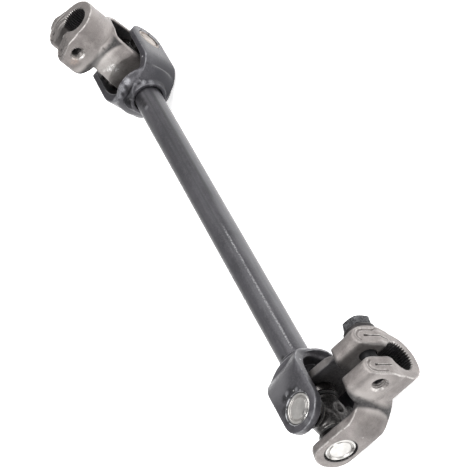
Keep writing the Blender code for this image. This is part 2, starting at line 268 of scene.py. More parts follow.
def turned(name, profile, axis, seg=96, at=(0, 0, 0)):
    """A closed profile of (along, radius) turned about an axis."""
    verts, ids, faces = [], [], []
    for along, r in profile:
        ring = []
        for j in range(seg):
            t = 2 * math.pi * j / seg
            p = [r * math.cos(t), r * math.sin(t)]
            p.insert(axis, along)
            if r == 0 and j:
                ring.append(ring[0])
                continue
            ring.append(len(verts))
            verts.append([p[i] + at[i] for i in range(3)])
        ids.append(ring)
    for i in range(len(ids)):
        a, b = ids[i], ids[(i + 1) % len(ids)]
        for j in range(seg):
            k = (j + 1) % seg
            face = []
            for v in (a[j], a[k], b[k], b[j]):
                if v not in face:
                    face.append(v)
            if len(face) > 2:
                faces.append(tuple(face))
    return outward(mesh_object(name, verts, faces))


def rounded(profile, r, n=4, keep=()):
    """The corners of a closed profile eased by arcs of about r; points whose index is in keep stay sharp."""
    out, m = [], len(profile)
    for i, p in enumerate(profile):
        p = np.array(p, float)
        a, b = np.array(profile[i - 1], float) - p, np.array(profile[(i + 1) % m], float) - p
        la, lb = np.linalg.norm(a), np.linalg.norm(b)
        if i in keep or p[1] == 0:
            out.append(tuple(p))
            continue
        d = min(r, 0.45 * la, 0.45 * lb)
        s, e = p + a / la * d, p + b / lb * d
        for k in range(n + 1):
            t = k / n
            out.append(tuple((1 - t) ** 2 * s + 2 * t * (1 - t) * p + t * t * e))
    return out


def combine(obj, other, operation, solver="MANIFOLD"):
    before = len(obj.data.vertices)
    for way in (solver, "EXACT"):
        modifier = obj.modifiers.new("shape", "BOOLEAN")
        modifier.operation = operation
        modifier.solver = way
        modifier.object = other
        bpy.context.view_layer.update()
        mesh = bpy.data.meshes.new_from_object(obj.evaluated_get(bpy.context.evaluated_depsgraph_get()))
        obj.modifiers.clear()
        if len(mesh.vertices) > 20 and len(mesh.vertices) != before:
            break
        if way == "EXACT":
            print("boolean changed nothing:", obj.name, other.name)
    old = obj.data
    obj.data = mesh
    bpy.data.meshes.remove(old)
    bpy.data.objects.remove(other)
    return obj


def finish(obj, matrix, mat, body, nodes, angle=32):
    obj.data.materials.clear()
    obj.data.materials.append(mat)
    for poly in obj.data.polygons:
        poly.use_smooth = True
    obj.data.set_sharp_from_angle(angle=math.radians(angle))
    obj.matrix_world = matrix
    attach(obj, body)
    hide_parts(*nodes)
    return obj


# ---- the clamp yoke: x to the splined end, y along its bearing axis, z away from the pinch bolt ----
def clamp_field():
    side = [(13.0 * math.cos(math.radians(a)), 13.0 * math.sin(math.radians(a))) for a in range(90, 271, 6)]
    low = [(6.0, -12.7), (12.0, -11.7), (17.0, -10.9), (21.5, -11.5), (24.6, -13.8), (26.6, -17.0), (27.6, -20.2),
           (29.2, -22.2), (31.6, -23.2), (42.0, -23.2), (44.2, -21.6), (45.6, -18.5), (CLAMP_END, -9.5)]
    high = [(CLAMP_END + 3, -9.5), (CLAMP_END + 3, 17.0), (29.6, 17.0), (29.3, 13.6), (28.2, 11.8), (26.6, 11.0),
            (24.5, 11.2), (22.0, 11.7), (18.0, 12.0), (12.0, 12.3), (6.0, 12.7)]
    plan = Outline(chaikin(side + low + high, 2))
    thick = EAR_PINCH - SLOT_HALF
    mid, r = SLOT_HALF + thick / 2, thick / 2
    fold = arc(mid, -(PINCH_DEPTH - r), r, 180, 360, 24)
    ear = Outline(chaikin([(SLOT_HALF, 1.0)] + fold + [(EAR_PINCH, -5.0), (CLAMP_R - 0.9, -1.0), (9.0, 1.0)], 2))

    def field(x, y, z):
        ay = np.abs(y)
        lean = np.clip(z, -13.0, 9.0)
        t = np.clip((x - 20.0 - np.where(lean < 0, 0.34 * lean, -0.3 * lean)) / (11.5 + 0.2 * np.maximum(lean, 0)), 0, 1)
        s = 1 - t ** 1.35
        half = CLAMP_R + (EAR_OUT - CLAMP_R) * s
        top = CLAMP_R + 1.0 * s
        p = 2 + 4.5 * s
        q = ((ay / half) ** p + (np.maximum(z, 0) / top) ** p) ** (1 / p)
        upper = (q - 1) * np.minimum(half, top)
        w = step(-z, 0, 6)
        lower = ay - (half * (1 - w) + (14.1 + 6.4 * s) * w)
        body = np.where(z > 0, upper, lower) / np.sqrt(1 + 0.35 * t)
        body = smax(body, -(17.0 - 5.6 * step(x, 33.0, 25.0)) - z, 0.8)
        e = smax(ear(ay, z), 25.4 - x, 1.0)
        body = smin(body, e, 0.9)
        seat = smax(np.hypot(x - BOLT_X, z - BOLT_Z) - SEAT_R, -SEAT_Y - y, 0.7)
        seat = np.maximum(seat, y + 13.4)
        body = smin(body, seat, 0.4)
        body = smax(body, plan(x, z), 0.9)
        body = smax(body, x - CLAMP_END, 0.8)
        # the throat between the arms
        s2 = 1 - step(x, 19.0, 30.0)
        inner = 8.0 + (EAR_IN - 8.0) * s2
        lid = 8.0 + 14.0 * (1 - step(x, 25.5, 32.5))
        p2 = 2 + 6 * s2
        q2 = ((ay / inner) ** p2 + (np.maximum(z, 0) / lid) ** p2) ** (1 / p2)
        throat = np.where(z > 0, (q2 - 1) * np.minimum(inner, lid), ay - inner)
        throat = smax(throat, x - (33.0 - 7.0 * step(-z, 2.0, 10.0)), 1.0)
        body = smax(body, -throat, 0.9)
        slot = smax(ay - SLOT_HALF, z + 1.0, 0.5)
        slot = smax(slot, 24.0 - x, 0.5)
        body = smax(body, -slot, 1.2)
        bore = smax(np.hypot(y, z) - 7.7, 24.0 - x, 0.5)
        body = smax(body, -bore, 0.5)
        # the outline of the folded strip shows as a shallow groove in each ear end
        end = np.maximum(plan(x, z), x - CLAMP_END)
        groove = np.maximum(np.abs(ear(ay, z) + 2.1) - 0.42, -end - 0.55)
        groove = np.maximum(np.maximum(groove, 38.0 - x), np.maximum(z + 8.5, 6.5 - ay - 0.9 * (-z - PINCH_DEPTH + 4.0)))
        body = smax(body, -groove, 0.5)
        return body + 0.035 * ripple(x, y, z, 7.0, 0.5) + 0.02 * ripple(x, y, z, 2.9, 2.2)

    return field


def serration(teeth, root, tip, low, high):
    """A cutter with rounded serrations, its axis along x."""
    outline = []
    for i in range(teeth):
        for k, rad in ((-0.46, 0.0), (-0.30, 0.55), (-0.14, 1.0), (0.14, 1.0), (0.30, 0.55), (0.46, 0.0)):
            t = 2 * math.pi * (i + 0.5 + k) / teeth
            rr = tip + (root - tip) * rad
            outline.append((rr * math.cos(t), rr * math.sin(t)))
    return prism("serration", outline, low, high, 0)


def helix(name, core, crest, pitch, low, high, axis, at, hand=1, seg=48, caps=0.0):
    """A threaded rod along an axis, with its ends run out to the core; used as a cutter or a shank."""
    rows = int((high - low) / pitch * 10)
    verts, faces = [], []
    for i in range(rows + 1):
        h = low + (high - low) * i / rows
        for j in range(seg):
            t = 2 * math.pi * j / seg
            phase = ((h - low) / pitch - hand * j / seg) % 1.0
            saw = 1 - abs(2 * phase - 1)
            saw = min(1.0, max(0.0, (saw - 0.12) / 0.72))
            fade = min(1.0, (h - low) / pitch, (high - h) / pitch) if caps else 1.0
            r = core + (crest - core) * saw * fade
            p = [r * math.cos(t), r * math.sin(t)]
            p.insert(axis, h)
            verts.append([p[k] + at[k] for k in range(3)])
    for i in range(rows):
        for j in range(seg):
            k = (j + 1) % seg
            faces.append((i * seg + j, i * seg + k, (i + 1) * seg + k, (i + 1) * seg + j))
    faces.append(tuple(range(seg)))
    faces.append(tuple(rows * seg + j for j in range(seg)))
    return outward(mesh_object(name, verts, faces), 1e-6)


def make_clamp(name):
    yoke = net(name, clamp_field(), (-15, -23, -25), (51, 23, 16), 0.40)
    combine(yoke, serration(36, 8.55, 7.85, 30.0, CLAMP_END + 2), "DIFFERENCE")
    combine(yoke, turned("mouth", [(CLAMP_END - 0.75, 0), (CLAMP_END - 0.75, 7.7), (CLAMP_END + 0.25, 8.9), (CLAMP_END + 3, 8.9), (CLAMP_END + 3, 0)], 0), "DIFFERENCE")
    combine(yoke, turned("cups", [(-30, 0), (-30, 8.5), (-EAR_OUT - 0.1, 8.5), (-EAR_OUT + 0.42, 8.06), (EAR_OUT - 0.42, 8.06), (EAR_OUT + 0.1, 8.5), (30, 8.5), (30, 0)], 1, 128), "DIFFERENCE")
    thick = EAR_PINCH - SLOT_HALF
    mid, r = SLOT_HALF + thick / 2, thick / 2
    deep = -(PINCH_DEPTH - r) - 0.6
    for y0, y1, top in ((-mid, -8.4, -3.4), (mid, mid, -8.6)):
        curve, n = [], 9
        for i in range(n + 1):
            t = i / n
            y = y0 + (y1 - y0) * t * t
            curve.append((y, deep + (top - deep) * t, 0.62 if t == 0 else 0.66 if i == 1 else 0.20 + 0.16 * math.sin(math.pi * t) if t < 1 else 0.06))
        outline = [(y - w, z) for y, z, w in curve] + [(y + w, z) for y, z, w in reversed(curve)]
        combine(yoke, prism("seam", outline, 22.0, CLAMP_END + 2, 0), "DIFFERENCE")
    combine(yoke, turned("far", [(-22, 0), (-22, 5.2), (-SEAT_Y - 0.1, 5.0), (-SEAT_Y + 0.5, 4.4), (0, 4.4), (0, 0)], 1, 64, (BOLT_X, 0, BOLT_Z)), "DIFFERENCE")
    combine(yoke, helix("thread", 3.35, 4.05, 1.25, 1.0, EAR_PINCH + 4, 1, (BOLT_X, 0, BOLT_Z)), "DIFFERENCE")
    combine(yoke, turned("lead", [(EAR_PINCH - 1.0, 0), (EAR_PINCH - 1.0, 3.5), (EAR_PINCH + 0.15, 4.75), (22, 4.75), (22, 0)], 1, 64, (BOLT_X, 0, BOLT_Z)), "DIFFERENCE")
    return yoke


# ---- the fork: x along its bearing axis, z away from the bar ----
def fork_field(weld):
    outer = [(EAR_OUT, 20.0), (EAR_OUT, -14.0), (20.2, -19.5), (19.2, -23.8), (17.6, -27.3), (15.5, -30.4), (12.8, -32.8), (9.0, -34.4), (4.5, -FORK_DEPTH)]
    outer += [(-a, b) for a, b in reversed(outer)]
    inner = [(EAR_IN, 20.0), (EAR_IN, -14.0), (15.4, -18.6), (14.3, -22.6), (12.3, -26.0), (9.6, -28.4), (6.0, -FORK_FLOOR)]
    inner += [(-a, b) for a, b in reversed(inner)]
    bend = Outline(chaikin(outer + list(reversed(inner)), 2))
    tip = arc(0, FORK_TIP - FORK_HALF_W, FORK_HALF_W, 0, 180, 36)
    face = Outline(tip + [(-FORK_HALF_W, -40.0), (FORK_HALF_W, -40.0)])
    plan = [(FORK_EASE_X, FORK_HALF_W + 1.6), (FORK_EASE_X, FORK_HALF_W), (EAR_OUT - 0.5, 10.6), (EAR_OUT, FORK_EASE_Y - 1.0)]
    plan = plan + [(a, -b) for a, b in reversed(plan)]
    plan = Outline(chaikin(plan + [(-a, -b) for a, b in plan], 2))
    f = -FORK_FLOOR
    base = Outline(chaikin([(0, f), (FORK_BASE_R - 0.2, f), (FORK_BASE_R, f - 0.5), (FORK_BASE_R - 0.1, f - 1.5), (15.4, f - 3.2), (13.0, f - 4.8), (11.9, f - 5.3), (11.6, f - 5.9),
                            (11.3, f - 7.0), (11.0, -LIP_END + 0.6), (10.7, -LIP_END), (9.0, -LIP_END), (8.6, -LIP_END + 0.7), (8.4, -LIP_END + 1.6), (8.2, -LIP_END + 2.0), (0, -LIP_END + 2.0)], 2))

    def field(x, y, z):
        radius = np.hypot(x, y)
        body = smax(bend(x, z), face(y, z), 0.9)
        body = smax(body, plan(x, y), 0.6)
        body = smin(body, base(radius, z), 2.4)
        if weld:
            # weld run round one side of the foot of the lip
            a = np.arctan2(y, x)
            turn = np.clip((np.abs(np.mod(a + 2.05 + math.pi, 2 * math.pi) - math.pi) - 1.0) / 0.3, 0, 1)
            size = 1.6 + 0.55 * np.sin(7 * a + 0.7) + 0.3 * np.sin(5 * a)
            lump = np.hypot(radius - 11.3 - 0.7 * np.sin(5 * a + 1.1), z - f + 6.5 + 0.8 * np.sin(6 * a) + 0.5 * np.sin(4 * a + 2)) - size * (1 - turn) + 3.0 * turn
            drop = np.sqrt((x + 5.2) ** 2 + (y + 8.2) ** 2 + (z - f + 7.6) ** 2) - 1.35
            body = smin(body, np.minimum(lump, drop), 0.9)
        body = np.maximum(body, -(radius - 8.15))
        return body + 0.03 * ripple(x, y, z, 9.0, 1.7) + 0.015 * ripple(x, y, z, 3.1, 0.2)

    return field


def make_fork(name, weld):
    fork = net(name, fork_field(weld), (-23, -19, -41), (23, 19, 14.5), 0.40)
    combine(fork, turned("cups", [(-30, 0), (-30, 8.5), (-EAR_OUT - 0.1, 8.5), (-EAR_OUT + 0.42, 8.06), (EAR_OUT - 0.55, 8.10), (EAR_OUT - 0.1, 8.75), (30, 8.75), (30, 0)], 0, 128), "DIFFERENCE")
    return fork


def make_cross(name):
    def field(x, y, z):
        ry, rx, radius = np.hypot(x, z), np.hypot(y, z), np.sqrt(x * x + y * y + z * z)
        arm_x = smax(rx - 7.4 + 0.04 * np.abs(x), np.abs(x) - 9.3, 0.7)
        arm_y = smax(ry - 7.4 + 0.04 * np.abs(y), np.abs(y) - 9.3, 0.7)
        body = smin(smin(arm_x, arm_y, 2.4), radius - 9.0, 2.0)
        body = smax(body, np.abs(z) - 7.9, 1.2)
        pin_x = smax(rx - 4.9, np.abs(x) - 17.9, 0.6)
        pin_y = smax(ry - 4.9, np.abs(y) - 17.9, 0.6)
        body = smin(smin(body, pin_x, 0.5), pin_y, 0.5)
        dimple = np.sqrt(x * x + y * y + (z - 9.6) ** 2) - 3.2
        return smax(body, -dimple, 0.6) + 0.03 * ripple(x, y, z, 5.0, 0.9)

    return net(name, field, (-18.5, -18.5, -9), (18.5, 18.5, 9), 0.40)


def make_cup(name):
    f = CUP_FACE
    profile = [(f - 0.30, 0), (f - 0.26, 2.4), (f - 0.22, 5.25), (f - 0.80, 5.55), (f - 0.80, 6.15), (f, 6.55), (f, 7.35),
               (f - 0.65, CUP_R), (CUP_MOUTH, CUP_R), (CUP_MOUTH, 7.0), (18.2, 7.0), (18.2, 0)]
    return turned(name, rounded(profile, 0.22, 3), 0, 96)


def make_needles(name, count=24):
    """Bearing needles standing round the trunnion, tied by their thin cage so that they are one piece."""
    ring = turned(name, rounded([(11.95, 5.45), (17.85, 5.45), (17.85, 6.45), (11.95, 6.45)], 0.15, 2), 0, 96)
    for i in range(count):
        t = 2 * math.pi * i / count
        at = (0, 5.98 * math.cos(t), 5.98 * math.sin(t))
        combine(ring, turned("needle", [(12.1, 0), (12.1, 0.6), (12.3, 0.77), (17.5, 0.77), (17.7, 0.6), (17.7, 0)], 0, 12, at), "UNION")
    return ring


def make_seal(name):
    profile = [(9.6, 5.15), (11.05, 5.15), (11.05, 7.2), (10.75, 7.9), (10.35, 7.95), (10.1, 7.3), (9.85, 7.6), (9.6, 7.2)]
    return turned(name, rounded(profile, 0.25, 3), 0, 72)


def make_bolt(name):
    seat = -SEAT_Y - 0.25
    head = 5.3
    af = 13.0
    body = turned(name, [(seat - 0.8, 0), (seat - 0.8, 3.95), (1.4, 3.95), (1.9, 3.5), (2.4, 3.2), (2.4, 0)], 1, 64)
    combine(body, helix("thread", 3.1, 3.42, 1.25, 2.0, 10.9, 1, (0, 0, 0), caps=1.0), "UNION")
    hexagon = [(af / math.sqrt(3) * math.cos(math.radians(60 * i + 8)), af / math.sqrt(3) * math.sin(math.radians(60 * i + 8))) for i in range(6)]
    hex_head = prism("head", hexagon, seat - head, seat - 0.45, 1)
    bm = bmesh.new()
    bm.from_mesh(hex_head.data)
    bmesh.ops.bevel(bm, geom=[e for e in bm.edges if abs(e.verts[0].co.y - e.verts[1].co.y) > 1], offset=0.35, segments=3, profile=0.5, affect="EDGES")
    bm.to_mesh(hex_head.data)
    bm.free()
    crown = turned("crown", rounded([(seat - head, 0), (seat - head, 5.9), (seat - head + 0.95, 7.7), (seat - 1.2, 7.7), (seat - 0.3, 7.0), (seat - 0.3, 0)], 0.3, 3), 1, 96)
    combine(hex_head, crown, "INTERSECT")
    combine(hex_head, turned("washer", rounded([(seat - 0.6, 0), (seat - 0.6, 6.2), (seat, 6.1), (seat, 0)], 0.12, 2), 1, 96), "UNION")
    combine(hex_head, turned("dish", [(seat - head - 1, 0), (seat - head - 1, 3.9), (seat - head + 0.3, 3.5), (seat - head + 0.35, 0)], 1, 64), "DIFFERENCE")
    combine(body, hex_head, "UNION")
    for v in body.data.vertices:
        v.co.x += BOLT_X
        v.co.z += BOLT_Z
    return body


def make_bar(name):
    end = FORK_FLOOR + 0.4
    profile = [(-SPACING + end, 0), (-SPACING + end, SHAFT_R), (-end, SHAFT_R), (-end, 0)]
    prof = rounded(profile, 0.9, 4)
    # rings along the bar carry its faint unevenness
    obj = turned(name, prof, 0, 128)
    bm = bmesh.new()
    bm.from_mesh(obj.data)
    long = [e for e in bm.edges if abs(e.verts[0].co.x - e.verts[1].co.x) > 100]
    bmesh.ops.subdivide_edges(bm, edges=long, cuts=120, use_grid_fill=False)
    for v in bm.verts:
        x, y, z = v.co
        r = math.hypot(y, z)
        if r > 7.9 and -SPACING + end + 2 < x < -end - 2:
            k = 1 + 0.0016 * math.sin(x * 0.21) * math.sin(math.atan2(z, y) * 2 + x * 0.013) + 0.0012 * math.sin(x * 0.047 + 1.0)
            v.co.y, v.co.z = y * k, z * k
    bm.to_mesh(obj.data)
    bm.free()
    return obj


# ---- materials ----
class Graph:
    """Short hands for building a node tree."""

    def __init__(self, name):
        self.mat = bpy.data.materials.new(name)
        self.mat.use_nodes = True
        self.t = self.mat.node_tree
        self.shader = self.t.nodes["Principled BSDF"]
        self.coord = self.t.nodes.new("ShaderNodeTexCoord")

    def link(self, a, b):
        self.t.links.new(a, b)

    @property
    def place(self):
        return self.coord.outputs["Object"]

    def scale(self, xyz, source=None):
        n = self.t.nodes.new("ShaderNodeMapping")
        n.inputs["Scale"].default_value = xyz
        self.link(source or self.place, n.inputs["Vector"])
        return n.outputs["Vector"]

    def noise(self, scale, detail=3.0, rough=0.55, source=None, distortion=0.0):
        n = self.t.nodes.new("ShaderNodeTexNoise")
        n.inputs["Scale"].default_value = scale
        n.inputs["Detail"].default_value = detail
        n.inputs["Roughness"].default_value = rough
        n.inputs["Distortion"].default_value = distortion
        self.link(source or self.place, n.inputs["Vector"])
        return n.outputs["Fac"]

    def voronoi(self, scale, source=None, feature="F1", random=1.0):
        n = self.t.nodes.new("ShaderNodeTexVoronoi")
        n.feature = feature
        n.inputs["Scale"].default_value = scale
        n.inputs["Randomness"].default_value = random
        self.link(source or self.place, n.inputs["Vector"])
        return n.outputs["Distance"]

    def ramp(self, source, low, high, a=0.0, b=1.0, smooth=True):
        n = self.t.nodes.new("ShaderNodeMapRange")
        n.interpolation_type = "SMOOTHSTEP" if smooth else "LINEAR"
        n.inputs["From Min"].default_value = low
        n.inputs["From Max"].default_value = high
        n.inputs["To Min"].default_value = a
        n.inputs["To Max"].default_value = b
        self.link(source, n.inputs["Value"])
        return n.outputs["Result"]

    def math(self, operation, a, b=None, clamp=False):
        n = self.t.nodes.new("ShaderNodeMath")
        n.operation = operation
        n.use_clamp = clamp
        for socket, v in zip(n.inputs, (a, b)):
            if v is None:
                continue
            if isinstance(v, (int, float)):
                socket.default_value = v
            else:
                self.link(v, socket)
        return n.outputs["Value"]

    def split(self, source=None):
        n = self.t.nodes.new("ShaderNodeSeparateXYZ")
        self.link(source or self.place, n.inputs["Vector"])
        return n.outputs["X"], n.outputs["Y"], n.outputs["Z"]

    def normal_axes(self):
        n = self.t.nodes.new("ShaderNodeSeparateXYZ")
        self.link(self.coord.outputs["Normal"], n.inputs["Vector"])
        return n.outputs["X"], n.outputs["Y"], n.outputs["Z"]

    def near(self, point, radius, soft):
        """1 within radius of a point of the piece, falling to 0 over soft, in the piece's millimetres."""
        n = self.t.nodes.new("ShaderNodeVectorMath")
        n.operation = "DISTANCE"
        n.inputs[1].default_value = point
        self.link(self.place, n.inputs[0])
        return self.ramp(n.outputs["Value"], radius, radius + soft, 1.0, 0.0)

    def mix(self, fac, a, b):
        n = self.t.nodes.new("ShaderNodeMix")
        n.data_type = "RGBA"
        n.clamp_factor = True
        self.link(fac, n.inputs["Factor"])
        for socket, v in ((n.inputs[6], a), (n.inputs[7], b)):
            if isinstance(v, (tuple, list)):
                socket.default_value = (*v[:3], 1)
            else:
                self.link(v, socket)
        return n.outputs[2]

    def mixf(self, fac, a, b):
        n = self.t.nodes.new("ShaderNodeMix")
        n.data_type = "FLOAT"
        n.clamp_factor = True
        self.link(fac, n.inputs["Factor"])
        for socket, v in ((n.inputs[2], a), (n.inputs[3], b)):
            if isinstance(v, (int, float)):
                socket.default_value = v
            else:
                self.link(v, socket)
        return n.outputs[0]

    def radius(self, a, b):
        return self.math("SQRT", self.math("ADD", self.math("MULTIPLY", a, a), self.math("MULTIPLY", b, b)))

    def both(self, *masks):
        out = masks[0]
        for m in masks[1:]:
            out = self.math("MULTIPLY", out, m)
        return out

    def edges(self, low=0.51, high=0.56):
        g = self.t.nodes.new("ShaderNodeNewGeometry")
        return self.ramp(g.outputs["Pointiness"], low, high)

    def hollows(self, low=0.49, high=0.44):
        g = self.t.nodes.new("ShaderNodeNewGeometry")
        return self.ramp(g.outputs["Pointiness"], low, high)

    def bump(self, height, strength, distance, below=None):
        n = self.t.nodes.new("ShaderNodeBump")
        n.inputs["Strength"].default_value = strength
        n.inputs["Distance"].default_value = distance * MM
        self.link(height, n.inputs["Height"])
        if below is not None:
            self.link(below, n.inputs["Normal"])
        return n.outputs["Normal"]

    def set(self, **sockets):
        names = dict(color="Base Color", rough="Roughness", metal="Metallic", normal="Normal", coat="Coat Weight", coat_rough="Coat Roughness", spec="Specular IOR Level", aniso="Anisotropic", ior="IOR")
        for key, v in sockets.items():
            socket = self.shader.inputs[names[key]]
            if isinstance(v, tuple):
                socket.default_value = (*v[:3], 1)
            elif isinstance(v, (int, float)):
                socket.default_value = v
            else:
                self.link(v, socket)
        return self.mat


def yoke_steel(name, spots=(), painted_light_and_marks=(), far_ear_shade_amount=0.0, ply=0.2):
    """Pressed steel, dull and slightly warm, with a fine blasted grain, painted shade in its hollows, creases and
    openings, rubbed edges that partly carry a painted highlight, and painted light over the joggle. Millimetres.
    """
    g = Graph(name)
    x, y, z = g.split()
    ay = g.math("ABSOLUTE", y)
    cloud = g.noise(0.10, 4, 0.6, distortion=0.4)
    mottle = g.noise(0.75, 5, 0.68)
    grain = g.noise(3.2, 4, 0.72)
    fine = g.noise(8.0, 2, 0.6)
    base = g.mix(g.ramp(cloud, 0.30, 0.72), (0.176, 0.160, 0.154), (0.268, 0.247, 0.237))
    base = g.mix(g.ramp(mottle, 0.38, 0.66), g.mix(g.math("MULTIPLY", g.ramp(mottle, 0.30, 0.50, 1.0, 0.0), 0.5), base, (0.135, 0.118, 0.112)), base)
    base = g.mix(g.math("MULTIPLY", g.ramp(grain, 0.50, 0.74), 0.42), base, (0.44, 0.41, 0.395))
    base = g.mix(g.math("MULTIPLY", g.ramp(grain, 0.48, 0.27), 0.45), base, (0.100, 0.088, 0.083))
    layer = g.math("SINE", g.math("ADD", g.math("MULTIPLY", y, 2.1), g.math("MULTIPLY", g.noise(0.25, 3, 0.6), 3.0)))
    layers = g.both(g.ramp(x, 48.3, 48.8), g.ramp(y, -3.6, -4.4), g.ramp(z, -2.0, -5.0))
    base = g.mix(g.math("MULTIPLY", g.math("MULTIPLY", layers, g.ramp(layer, 0.45, 0.85)), ply), base, (0.46, 0.435, 0.42))
    base = g.mix(g.math("MULTIPLY", g.math("MULTIPLY", layers, g.ramp(layer, -0.55, -0.9)), ply), base, (0.085, 0.075, 0.070))
    pit = g.ramp(g.noise(1.5, 4, 0.7), 0.655, 0.74)
    base = g.mix(g.math("MULTIPLY", pit, 0.5), base, (0.085, 0.074, 0.068))
    # edges lightened with noise: partly rubbed wear, partly a painted highlight along the edges
    worn = g.math("MULTIPLY", g.edges(0.508, 0.56), g.ramp(g.noise(0.7, 4, 0.6), 0.30, 0.60))
    base = g.mix(g.math("MULTIPLY", worn, 0.85), base, (0.62, 0.60, 0.58))
    # painted shade darkens the hollows and creases, less so over the joggle; painted light then brightens the joggle
    # slope, which lies in shade
    step = g.both(g.ramp(x, 23.5, 26.5), g.ramp(x, 35.0, 31.0), g.ramp(ay, 12.0, 14.0))
    crease_shade = g.math("MULTIPLY", g.hollows(0.480, 0.43), g.mixf(step, 0.7, 0.22))
    base = g.mix(crease_shade, base, (0.045, 0.039, 0.037))
    base = g.mix(g.math("MULTIPLY", step, 0.30), base, (0.56, 0.53, 0.51))
    # painted shade inside the throat, in the slot, down the bore and the tapped hole and in the gap round the cups
    crest = g.math("ADD", z, g.math("MULTIPLY", x, 0.06))
    throat = g.both(g.ramp(ay, 16.9, 15.7), g.ramp(x, 31.0, 28.0), g.ramp(crest, 12.6, 11.4))
    slot = g.both(g.ramp(ay, 5.0, 3.8), g.ramp(z, -0.5, -3.0), g.ramp(x, 24.0, 27.0))
    bore = g.both(g.ramp(g.radius(y, z), 9.3, 8.5), g.ramp(x, 49.2, 47.9))
    tapped = g.both(g.ramp(g.radius(g.math("SUBTRACT", x, BOLT_X), g.math("SUBTRACT", z, BOLT_Z)), 4.5, 4.0), g.ramp(y, 12.0, 8.5))
    shade_unevenness = g.mixf(g.ramp(mottle, 0.3, 0.7), 0.86, 1.0)
    gap = g.both(g.ramp(g.radius(x, z), 8.55, 8.4), g.ramp(ay, 18.5, 19.5))
    for mask in (throat, bore, tapped, gap):
        base = g.mix(g.math("MULTIPLY", mask, shade_unevenness), base, (0.016, 0.015, 0.016))
    base = g.mix(g.math("MULTIPLY", slot, 0.72), base, (0.030, 0.027, 0.026))
    if far_ear_shade_amount:
        # painted shade over the far ear's inner face beside the pinch slot
        far_ear_shade = g.both(g.ramp(y, -13.0, -15.0), g.ramp(z, -5.0, -8.0), g.ramp(x, 31.0, 26.0))
        base = g.mix(g.math("MULTIPLY", g.math("MULTIPLY", far_ear_shade, g.ramp(mottle, 0.25, 0.6, 0.75, 1.0)), far_ear_shade_amount), base, (0.060, 0.058, 0.062))
        # painted shade on the side of the seat boss under the bolt head
        boss_shade = g.both(g.ramp(y, -15.0, -15.6), g.ramp(g.radius(g.math("SUBTRACT", x, BOLT_X), g.math("SUBTRACT", z, BOLT_Z)), 9.4, 8.9))
        base = g.mix(g.math("MULTIPLY", boss_shade, 0.93), base, (0.014, 0.013, 0.014))
    metal = g.math("SUBTRACT", 0.80, g.math("MULTIPLY", g.math("MAXIMUM", throat, g.math("MAXIMUM", bore, slot)), 0.45))
    # each entry: point, radius, softness, colour, amount; real marks and painted light and shade alike
    for point, radius, soft, colour, amount in painted_light_and_marks:
        uneven = g.ramp(mottle, 0.2, 0.7, 0.7, 1.0) if radius > 3 else g.ramp(g.noise(0.9, 4, 0.7), 0.34, 0.62)
        near = g.math("MULTIPLY", g.near(point, radius, soft), uneven)
        base = g.mix(g.math("MULTIPLY", near, amount), base, colour)
    shine = None
    for point, radius, soft in spots:
        near = g.math("MULTIPLY", g.near(point, radius, soft), g.ramp(g.noise(1.3, 4, 0.7), 0.40, 0.60))
        shine = near if shine is None else g.math("MAXIMUM", shine, near)
    rough = g.mixf(g.ramp(mottle, 0.3, 0.75), 0.42, 0.56)
    rough = g.mixf(worn, rough, 0.30)
    if shine is not None:
        base = g.mix(shine, base, (0.90, 0.885, 0.87))
        rough = g.mixf(shine, rough, 0.24)
    height = g.math("ADD", g.math("MULTIPLY", grain, 0.8), g.math("ADD", g.math("MULTIPLY", mottle, 1.4), g.math("MULTIPLY", fine, 0.25)))
    n = g.bump(height, 0.75, 0.16)
    return g.set(color=base, rough=rough, metal=metal, normal=n)


